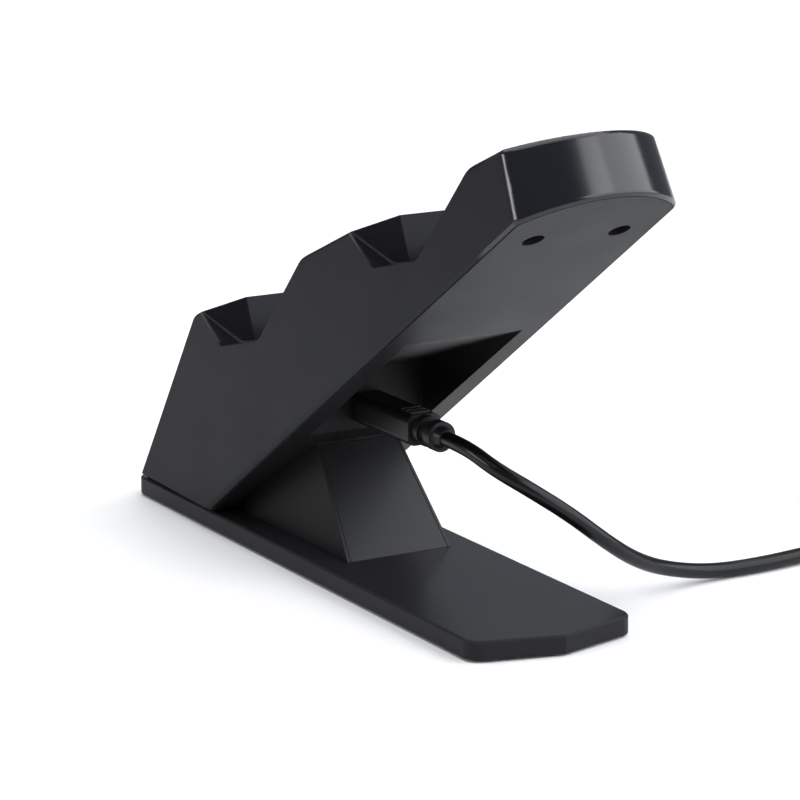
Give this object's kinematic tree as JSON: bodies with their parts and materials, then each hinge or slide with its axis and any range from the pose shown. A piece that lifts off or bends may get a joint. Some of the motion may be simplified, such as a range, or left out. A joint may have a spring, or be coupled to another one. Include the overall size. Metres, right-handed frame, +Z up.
{
  "type": "controller charging dock",
  "caption": "Black controller charging dock: a long inclined body with cross pockets and charging plugs, on a wedge leg and a flat base, with its cable plugged in behind.",
  "frame": {"origin": "middle of the base's footprint, at the bottom of the rubber feet, without the free cable", "axes": "+Z up, +Y along the dock from its low front lip to its high bowed end, +X across it"},
  "size_m": [0.2441, 0.2312, 0.141],
  "materials": {
    "shell_black": "satin sides, glossy end and pockets",
    "cover_black": "satin",
    "leg_black": "satin",
    "base_black": "satin",
    "foot_rubber": "matte",
    "ballast_steel": "plain",
    "board_green": "satin",
    "contact_metal": "bright",
    "connector_black": "matte",
    "screw_steel": "dark plated",
    "cable_moulding": "satin",
    "cable_jacket": "smooth"
  },
  "bodies": {
    "root": {"upper_shell": "shell_black", "rear_cover": "cover_black", "support_leg": "leg_black", "leg_back_panel": "leg_black", "base_deck": "base_black", "base_pan": "base_black", "ballast_plate": "ballast_steel", "main_board": "board_green", "input_jack": "contact_metal", "jack_tongue": "connector_black", "cover_screws": "screw_steel", "deck_screws": "screw_steel", "pan_screws": "screw_steel", "main_board_screws": "screw_steel", "plug_board_screws": "screw_steel", "cable_plug_body": "cable_moulding", "cable_plug_shell": "contact_metal", "cable_strain_relief": "cable_moulding", "cable_lead": "cable_jacket", "cable_coil": "cable_jacket", "cable_tie": "cable_moulding", "cable_far_lead": "cable_jacket", "far_plug_body": "cable_moulding", "far_plug_shell": "contact_metal", "lower_plug_block": "connector_black", "lower_plug_shell": "contact_metal", "lower_plug_board": "board_green", "upper_plug_block": "connector_black", "upper_plug_shell": "contact_metal", "upper_plug_board": "board_green", "foot_1": "foot_rubber", "foot_2": "foot_rubber", "foot_3": "foot_rubber", "foot_4": "foot_rubber"}
  },
  "joints": []
}
